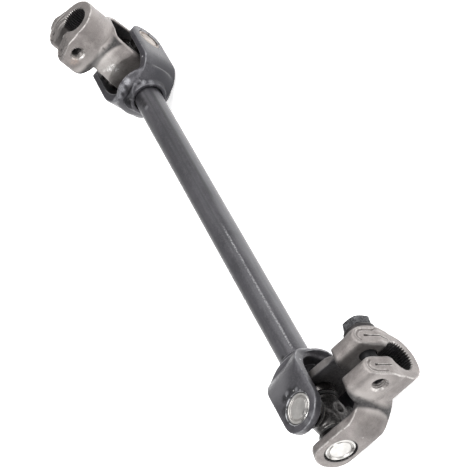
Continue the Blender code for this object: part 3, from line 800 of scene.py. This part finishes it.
def dark_coat(name, bar=False, spots=(), painted_light_and_marks=(), sheen=0.6):
    """A thin satin black coating on steel with a soft orange peel, worn to grey on its edges, the grey partly a painted
    highlight; on the forks painted shade fills the hollows. Millimetres.
    """
    g = Graph(name)
    x, y, z = g.split()
    cloud = g.noise(0.05 if bar else 0.10, 4, 0.55, distortion=0.3)
    peel = g.noise(1.1, 4, 0.6)
    grain = g.noise(4.0, 3, 0.6)
    base = g.mix(g.ramp(cloud, 0.3, 0.7), (0.034, 0.033, 0.038), (0.054, 0.052, 0.059))
    base = g.mix(g.math("MULTIPLY", g.ramp(peel, 0.42, 0.68), 0.35), base, (0.098, 0.096, 0.104))
    dust = g.ramp(g.noise(2.6, 5, 0.7), 0.60, 0.76)
    base = g.mix(g.math("MULTIPLY", dust, 0.45), base, (0.19, 0.185, 0.19))
    if bar:
        long = g.noise(0.8, 3, 0.5, g.scale((0.02, 0.34, 0.34)))
        base = g.mix(g.math("MULTIPLY", g.ramp(long, 0.50, 0.70), 0.45), base, (0.100, 0.098, 0.105))
        base = g.mix(g.math("MULTIPLY", g.ramp(long, 0.48, 0.30), 0.5), base, (0.024, 0.024, 0.027))
        # a rubbed light line along the lower half and two dark lines along the upper half
        for angle, low, high, half, colour, amount, broken in (
            (-40.3, -150.0, -38.0, 0.30, (0.36, 0.36, 0.37), 0.75, True),
            (-61.0, -285.0, -165.0, 0.85, (0.012, 0.012, 0.014), 0.75, False),
            (-30.0, -285.0, -120.0, 0.30, (0.022, 0.022, 0.025), 0.5, False),
        ):
            c, d = math.cos(math.radians(angle)), math.sin(math.radians(angle))
            side = g.math("ABSOLUTE", g.math("ADD", g.math("MULTIPLY", y, -d), g.math("MULTIPLY", z, c)))
            front = g.math("ADD", g.math("MULTIPLY", y, c), g.math("MULTIPLY", z, d))
            mask = g.both(g.ramp(side, half + 0.5, half * 0.4), g.ramp(front, 2.0, 4.0), g.ramp(x, low, low + 15), g.ramp(x, high, high - 10))
            if broken:
                mask = g.math("MULTIPLY", mask, g.ramp(g.noise(1.3, 4, 0.75), 0.42, 0.60))
            base = g.mix(g.math("MULTIPLY", mask, amount), base, colour)
    else:
        # painted shade inside the fork, in the gap round the cups and in the creases
        inner = g.both(g.ramp(g.math("ABSOLUTE", x), 16.9, 15.6), g.ramp(z, -31.0, -29.6), g.ramp(g.math("ABSOLUTE", y), 12.4, 11.6))
        inner = g.math("MAXIMUM", inner, g.both(g.ramp(g.radius(y, z), 9.0, 8.7), g.ramp(g.math("ABSOLUTE", x), 18.5, 19.5)))
        base = g.mix(g.math("MULTIPLY", inner, 0.8), base, (0.012, 0.012, 0.014))
        coat_crease_shade = g.hollows(0.492, 0.455)
        base = g.mix(g.math("MULTIPLY", coat_crease_shade, 0.8), base, (0.012, 0.012, 0.014))
    # edges lightened to grey: partly worn coat, partly a painted highlight along the rims
    worn = g.math("MULTIPLY", g.edges(0.512, 0.565), g.ramp(g.noise(0.5, 4, 0.6), 0.30, 0.56))
    base = g.mix(g.math("MULTIPLY", worn, 0.8), base, (0.40, 0.40, 0.42))
    for point, radius, soft, colour, amount in painted_light_and_marks:
        near = g.near(point, radius, soft)
        if soft < 5:
            near = g.math("MULTIPLY", near, g.ramp(g.noise(1.1, 4, 0.7), 0.32, 0.50))
        base = g.mix(g.math("MULTIPLY", near, amount), base, colour)
    shine = None
    for point, radius, soft in spots:
        near = g.math("MULTIPLY", g.near(point, radius, soft), g.ramp(g.noise(1.5, 4, 0.7), 0.40, 0.56))
        shine = near if shine is None else g.math("MAXIMUM", shine, near)
    rough = g.mixf(g.ramp(peel, 0.3, 0.7), 0.30, 0.44)
    metal = 0.30
    # pale glossy specks at the spots; on the forks these are painted glints
    if shine is not None:
        base = g.mix(shine, base, (0.80, 0.79, 0.78))
        rough = g.mixf(shine, rough, 0.26)
        metal = g.mixf(shine, 0.30, 0.9)
    height = g.math("ADD", g.math("MULTIPLY", peel, 1.0), g.math("MULTIPLY", grain, 0.25))
    n = g.bump(height, 0.45, 0.14)
    return g.set(color=base, rough=rough, metal=metal, normal=n, spec=sheen)


def ground_steel(name, light=(0.66, 0.65, 0.63), dull=(0.50, 0.49, 0.475), painted_light_and_marks=()):
    """A pressed bearing cup: turned face with faint rings, an oily barrel darkened further as painted shade inside the
    ear. x along its axis, millimetres.
    """
    g = Graph(name)
    x, y, z = g.split()
    r = g.radius(y, z)
    comb = g.t.nodes.new("ShaderNodeCombineXYZ")
    g.link(r, comb.inputs["X"])
    rings = g.noise(5.0, 3, 0.6, comb.outputs["Vector"])
    smear = g.noise(0.22, 4, 0.6)
    base = g.mix(g.ramp(smear, 0.35, 0.68), light, dull)
    spots = g.ramp(g.noise(1.9, 4, 0.7), 0.64, 0.76)
    base = g.mix(g.math("MULTIPLY", spots, 0.35), base, (0.32, 0.30, 0.28))
    groove = g.math("MULTIPLY", g.ramp(r, 5.2, 5.5), g.ramp(r, 6.1, 6.4, 1.0, 0.0))
    base = g.mix(g.math("MULTIPLY", groove, 0.42), base, (0.20, 0.185, 0.175))
    rim = g.math("MULTIPLY", g.ramp(r, 7.35, 7.8), g.ramp(g.noise(0.5, 3, 0.6), 0.30, 0.55))
    base = g.mix(g.math("MULTIPLY", rim, 0.75), base, (0.035, 0.032, 0.030))
    # barrel darkened: oily, and painted shade inside the ear's hole
    oily_shaded_barrel = g.math("MULTIPLY", g.ramp(r, 7.0, 7.6), g.ramp(x, 19.5, 19.0))
    base = g.mix(oily_shaded_barrel, base, (0.060, 0.056, 0.054))
    for point, radius, soft, colour, amount in painted_light_and_marks:
        near = g.near(point, radius, soft)
        if soft < 3:
            near = g.math("MULTIPLY", near, g.ramp(g.noise(1.4, 4, 0.7), 0.34, 0.54))
        base = g.mix(g.math("MULTIPLY", near, amount), base, colour)
    rough = g.mixf(g.ramp(smear, 0.3, 0.7), 0.30, 0.44)
    rough = g.mixf(oily_shaded_barrel, rough, 0.22)
    n = g.bump(g.math("ADD", g.math("MULTIPLY", rings, 0.5), g.math("MULTIPLY", g.noise(2.4, 3, 0.6), 0.5)), 0.25, 0.05)
    return g.set(color=base, rough=rough, metal=0.88, normal=n)


def forged_steel(name):
    g = Graph(name)
    mottle = g.noise(0.5, 5, 0.62)
    base = g.mix(g.ramp(mottle, 0.3, 0.7), (0.040, 0.038, 0.037), (0.105, 0.100, 0.098))
    # edges lightened: partly wear, partly painted glints on the cross
    worn = g.math("MULTIPLY", g.edges(0.505, 0.55), g.ramp(g.noise(0.9, 4, 0.6), 0.35, 0.6))
    base = g.mix(g.math("MULTIPLY", worn, 0.6), base, (0.42, 0.40, 0.38))
    rough = g.mixf(g.ramp(g.noise(1.8, 4, 0.6), 0.35, 0.7), 0.26, 0.48)
    n = g.bump(g.noise(2.4, 4, 0.65), 0.4, 0.12)
    return g.set(color=base, rough=rough, metal=0.85, normal=n)


def seal_rubber(name):
    g = Graph(name)
    base = g.mix(g.ramp(g.noise(0.9, 4, 0.6), 0.35, 0.7), (0.016, 0.016, 0.017), (0.040, 0.038, 0.036))
    rough = g.mixf(g.ramp(g.noise(1.5, 3, 0.5), 0.3, 0.7), 0.48, 0.66)
    return g.set(color=base, rough=rough, metal=0.0, normal=g.bump(g.noise(4.0, 3, 0.6), 0.25, 0.05))


def black_bolt(name):
    g = Graph(name)
    base = g.mix(g.ramp(g.noise(0.5, 4, 0.6), 0.3, 0.7), (0.008, 0.008, 0.009), (0.022, 0.022, 0.025))
    worn = g.math("MULTIPLY", g.edges(0.51, 0.57), g.ramp(g.noise(1.1, 4, 0.6), 0.38, 0.6))
    base = g.mix(g.math("MULTIPLY", worn, 0.6), base, (0.20, 0.20, 0.21))
    x, y, z = g.split()
    # the shank darker than the head: painted shade where it runs through the slot
    base = g.mix(g.ramp(y, -16.5, -15.0), base, (0.010, 0.010, 0.011))
    rough = g.mixf(g.ramp(g.noise(1.6, 4, 0.6), 0.3, 0.7), 0.34, 0.48)
    return g.set(color=base, rough=rough, metal=0.12, normal=g.bump(g.noise(3.5, 3, 0.6), 0.3, 0.06), spec=0.2)


# ---- the pieces ----
PALE, BLACK, GREY = (0.23, 0.23, 0.245), (0.006, 0.006, 0.007), (0.15, 0.15, 0.16)
coats = {
    # lower fork: the spots are painted glints; the grey patch low on the ear is painted light, the black dots round the
    # cup a painted shadow in the gap; the small grey marks are stake marks
    "lower": dark_coat("satin_black_coat_l", sheen=0.5, spots=[((20.5, 2.1, -11.0), 0.1, 0.35), ((20.5, -2.9, -9.4), 0.15, 0.4), ((20.5, -6.2, -6.2), 0.2, 0.5)],
                       painted_light_and_marks=[((20.5, 5.8, -22.0), 4.0, 10.0, (0.125, 0.123, 0.130), 0.75),
                                ((20.5, 3.2, -10.6), 1.2, 2.4, BLACK, 0.9), ((20.5, -0.4, -10.6), 1.2, 2.4, BLACK, 0.9), ((20.5, -3.8, -8.8), 1.0, 2.2, BLACK, 0.85),
                                ((20.5, 6.8, -5.5), 1.2, 2.4, BLACK, 0.8), ((20.5, 8.4, 0.0), 0.8, 1.8, BLACK, 0.6),
                                ((20.5, 1.2, -11.8), 0.4, 1.6, GREY, 0.9), ((20.5, -4.6, -8.4), 0.4, 1.4, GREY, 0.9), ((20.5, -1.0, 10.3), 0.5, 2.0, GREY, 0.6), ((20.2, -5.0, 9.9), 0.5, 2.0, GREY, 0.6)]),
    # upper fork: the spot is a painted glint; the large dark patch over the bend is painted shade, the pale marks round
    # the lip and the base's edge painted light, the black marks round the lip and weld painted shade
    "upper": dark_coat("satin_black_coat_u", sheen=0.3, spots=[((-5.2, -8.3, -37.6), 1.1, 0.7)],
                       painted_light_and_marks=[((14.0, 5.0, -31.0), 6.0, 13.0, (0.018, 0.018, 0.022), 0.80),
                                ((0.7, -15.6, -32.5), 1.2, 1.8, PALE, 0.85), ((-4.6, -15.2, -32.5), 1.4, 2.0, PALE, 0.85), ((-9.1, -13.8, -32.5), 1.4, 2.0, PALE, 0.8), ((-13.6, -12.2, -31.5), 1.2, 2.2, PALE, 0.7),
                                ((2.6, -11.2, -35.6), 0.8, 1.2, PALE, 0.8), ((6.0, -8.6, -36.6), 1.2, 1.4, PALE, 0.9), ((8.6, -5.2, -37.6), 1.0, 1.6, PALE, 0.6), ((-11.2, -1.2, -35.8), 0.8, 1.6, PALE, 0.5),
                                ((-7.8, -8.4, -36.2), 1.8, 2.4, BLACK, 0.95), ((-2.0, -11.0, -35.2), 1.8, 2.2, BLACK, 0.95), ((-10.6, -5.4, -35.8), 1.2, 2.0, BLACK, 0.9), ((1.5, -13.0, -31.0), 1.0, 1.8, BLACK, 0.85),
                                ((-2.4, -14.2, -33.6), 0.6, 1.4, BLACK, 0.8), ((-7.0, -12.6, -33.8), 0.6, 1.4, BLACK, 0.8)]),
}
bar_coat = dark_coat("satin_black_bar", True, spots=[((-94.0, 5.7, 5.6), 0.5, 0.5), ((-41.5, 6.0, 5.2), 0.25, 0.3)],
                     painted_light_and_marks=[((-41.0, 6.8, 4.3), 1.2, 1.8, BLACK, 0.95), ((-42.5, 7.9, 1.5), 0.7, 1.4, BLACK, 0.8), ((-40.5, 5.2, 6.0), 1.0, 1.6, BLACK, 0.9), ((-277.0, 7.9, 0.6), 1.2, 2.0, BLACK, 0.8), ((-273.0, 8.0, 0.2), 1.4, 2.2, BLACK, 0.8),
                              ((-268.5, 8.0, -0.3), 1.0, 2.0, BLACK, 0.8), ((-265.0, 8.0, -0.8), 0.6, 1.4, GREY, 0.8), ((-95.0, 5.5, 5.8), 0.9, 1.2, BLACK, 0.7)])
steels = {
    # lower clamp: the spots are painted highlights; the dark patch on the arm by the fork is painted shade, the light
    # patch on the near ear painted light, the dark dots along the joggle crease painted shade
    "lower": yoke_steel("pressed_steel_l", far_ear_shade_amount=0.55, spots=[((27.6, 19.5, -11.6), 0.25, 0.35), ((12.0, 20.5, 3.0), 0.3, 0.3)],
                        painted_light_and_marks=[((19.0, 20.5, 2.0), 4.0, 7.0, (0.110, 0.099, 0.095), 0.75), ((38.0, 15.5, -14.0), 4.0, 8.0, (0.46, 0.43, 0.415), 0.35), ((28.6, 14.4, -14.0), 0.6, 1.4, (0.05, 0.044, 0.042), 0.85), ((29.0, 14.2, -9.5), 0.5, 1.2, (0.05, 0.044, 0.042), 0.75), ((29.4, 14.0, -5.0), 0.3, 1.2, (0.05, 0.044, 0.042), 0.6)]),
    # upper clamp: the spots are painted highlights with a pale patch of painted light round them; the dark dots along
    # the joggle crease are painted shade
    "upper": yoke_steel("pressed_steel_u", ply=0.75, spots=[((20.7, 20.5, -5.2), 1.0, 1.6), ((20.4, 20.5, -2.6), 0.9, 1.2), ((17.0, 20.5, -2.8), 0.9, 1.4), ((22.4, 20.2, -8.4), 0.9, 1.4), ((26.0, 17.6, -11.4), 0.9, 1.2)],
                        painted_light_and_marks=[((21.0, 20.0, -6.0), 4.0, 8.0, (0.56, 0.535, 0.515), 0.45), ((29.8, 14.2, 1.0), 0.5, 1.3, (0.05, 0.044, 0.042), 0.85), ((28.6, 14.2, 4.6), 0.4, 1.2, (0.05, 0.044, 0.042), 0.8), ((28.6, 14.4, -12.6), 0.5, 1.6, (0.05, 0.044, 0.042), 0.85), ((26.8, 14.9, -14.6), 0.5, 1.4, (0.05, 0.044, 0.042), 0.8),
                                 ((38.0, 14.7, -16.0), 1.0, 3.0, (0.42, 0.30, 0.24), 0.35)]),
}
bright = ground_steel("cup_steel", (0.50, 0.49, 0.475), (0.34, 0.33, 0.32))
# the dark spots at the rims of the caps are painted shadow in the gap round each cap; the soft grey patch on the lower
# shaft cap is painted shade on its darker side
caps = {
    "lower_shaft_a": ground_steel("cup_steel_one", (0.58, 0.565, 0.545), (0.43, 0.415, 0.40), [((19.9, 5.4, 3.6), 1.6, 1.8, (0.030, 0.030, 0.033), 0.95), ((19.9, 7.0, 0.5), 0.6, 1.2, (0.030, 0.030, 0.033), 0.8), ((19.8, 1.5, 4.5), 1.5, 4.5, (0.36, 0.35, 0.34), 0.7)]),
    "lower_clamp_a": ground_steel("cup_steel_two", (0.57, 0.56, 0.54), (0.47, 0.46, 0.445), [((19.9, -6.9, -2.9), 1.0, 1.4, (0.045, 0.038, 0.034), 0.95), ((19.9, 1.8, 7.6), 0.9, 1.8, (0.045, 0.038, 0.034), 0.95), ((19.9, 4.5, 6.2), 0.6, 1.4, (0.045, 0.038, 0.034), 0.7)]),
    "upper_shaft_a": ground_steel("cup_steel_three", (0.30, 0.26, 0.23), (0.16, 0.135, 0.12), [((19.9, -4.0, 6.0), 1.4, 2.4, (0.02, 0.018, 0.017), 0.95), ((19.9, -6.4, 2.4), 1.0, 2.2, (0.03, 0.026, 0.024), 0.8), ((19.9, -1.0, 7.2), 0.8, 1.6, (0.02, 0.018, 0.017), 0.9), ((19.9, 2.0, 1.0), 1.0, 2.6, (0.46, 0.42, 0.38), 0.5)]),
}
forged = forged_steel("oiled_forging")
rubber = seal_rubber("seal_rubber_mat")
bolt_black = black_bolt("black_oxide")

bar_m = row_matrix(O_LOW, Vector((1, 0, 0)), Vector((0, 1, 0)), Vector((0, 0, 1)))
finish(make_bar("bar_skin"), bar_m, bar_coat, "bar", ["shaft"])

fork_meshes = {"lower": make_fork("lower_fork_skin", False), "upper": make_fork("upper_fork_skin", True)}
clamp_mesh = make_clamp("lower_clamp_skin")
cross_mesh = make_cross("lower_cross_skin")
cup_mesh = make_cup("cup_skin")
needle_mesh = make_needles("needle_skin")
seal_mesh = make_seal("seal_skin")


def copy_of(obj, name):
    new = bpy.data.objects.new(name, obj.data.copy())
    bpy.context.scene.collection.objects.link(new)
    return new


for end, d in ENDS.items():
    fork = copy_of(fork_meshes[end], end + "_fork")
    finish(fork, FORK_M[end], coats[end], "bar", [end + "_shaft_yoke"])
    clamp = copy_of(clamp_mesh, end + "_clamp")
    finish(clamp, CLAMP_M[end], steels[end], end + "_clamp_body", [end + "_clamp_yoke"])
    cross = copy_of(cross_mesh, end + "_spider")
    finish(cross, CROSS_M[end], forged, end + "_cross_body", [end + "_cross"])
    for owner, direction in (("shaft", d["k"]), ("clamp", d["g"])):
        for sign, tag in ((1, "a"), (-1, "b")):
            along = direction * sign
            side = d["g"] if owner == "shaft" else d["k"]
            m = row_matrix(d["o"], along, side, along.cross(side))
            node = f"{end}_{owner}_{tag}"
            body = "bar" if owner == "shaft" else end + "_clamp_body"
            finish(copy_of(cup_mesh, node + "_cup_skin"), m, caps.get(node, bright), body, [node + "_cup"])
            finish(copy_of(needle_mesh, node + "_needle_skin"), m, bright, body, [node + "_needles"])
            finish(copy_of(seal_mesh, node + "_seal_skin"), m, rubber, end + "_cross_body", [node + "_seal"])

bolt = make_bolt("pinch_bolt_skin")
finish(bolt, CLAMP_M["lower"], bolt_black, "lower_clamp_body", ["lower_pinch_bolt"])
for obj in (*fork_meshes.values(), clamp_mesh, cross_mesh, cup_mesh, needle_mesh, seal_mesh):
    bpy.data.objects.remove(obj)

# ---- camera, solved for the photograph's view: x right, y up, z towards the camera, millimetres ----
CAM_U, CAM_K = Vector((0.342, -0.598, 0.725)), Vector((-0.762, 0.275, 0.586))
CAM_O, CAM_D, FOCAL = Vector((44.887, -87.39, 0.0)), 885.40, 1849.15
cu = CAM_U.normalized()
ck = (CAM_K - cu * CAM_K.dot(cu)).normalized()
to_view = Matrix((cu, ck, cu.cross(ck))).transposed()
view_to_row = TO_ROW @ to_view.transposed()
camera = bpy.data.objects.new("camera", bpy.data.cameras.new("camera"))
bpy.context.scene.collection.objects.link(camera)
camera.data.sensor_width = 36.0
camera.data.lens = 36.0 * FOCAL / 470.0
camera.data.clip_start, camera.data.clip_end = 0.05, 20.0
m = view_to_row.to_4x4()
m.translation = O_LOW + (view_to_row @ (Vector((0, 0, CAM_D)) - CAM_O)) * MM
camera.matrix_world = m
bpy.context.scene.camera = camera

# ---- floor and light ----
floor = mesh_object("floor", [(-6, -6, 0), (6, -6, 0), (6, 6, 0), (-6, 6, 0)], [(0, 1, 2, 3)])
floor.location.z = -0.0002
g = Graph("pale_floor")
floor.data.materials.append(g.set(color=g.mix(g.ramp(g.noise(3.0, 3, 0.5), 0.3, 0.7), (0.86, 0.86, 0.86), (0.90, 0.90, 0.90)), rough=0.7, metal=0.0, spec=0.2))
g.shader.inputs["Emission Color"].default_value = (1, 1, 1, 1)
g.shader.inputs["Emission Strength"].default_value = 0.72

world = bpy.data.worlds.new("studio")
bpy.context.scene.world = world
world.use_nodes = True
world.node_tree.nodes["Background"].inputs["Color"].default_value = (1.0, 1.0, 1.0, 1)
world.node_tree.nodes["Background"].inputs["Strength"].default_value = 0.50


def lamp(name, direction, distance, size, power, colour=(1, 1, 1)):
    """An area light seen from the object in this direction of the camera's axes."""
    light = bpy.data.lights.new(name, "AREA")
    light.shape = "RECTANGLE"
    light.size, light.size_y = size
    light.energy = power
    light.color = colour
    obj = bpy.data.objects.new(name, light)
    bpy.context.scene.collection.objects.link(obj)
    centre = (O_LOW + O_UP) / 2
    way = (view_to_row @ Vector(direction).normalized())
    obj.location = centre + way * distance
    obj.rotation_mode = "QUATERNION"
    obj.rotation_quaternion = way.to_track_quat("Z", "Y")
    return obj


lamp("key", (-0.55, 0.75, 0.55), 1.3, (0.9, 0.9), 16.0)
lamp("fill", (0.9, 0.35, 0.5), 1.5, (0.8, 1.2), 4.0)
lamp("front", (-0.39, -0.175, 0.90), 1.6, (0.6, 0.6), 16.0)

bpy.context.scene.view_settings.view_transform = "Standard"
bpy.context.scene.view_settings.look = "None"
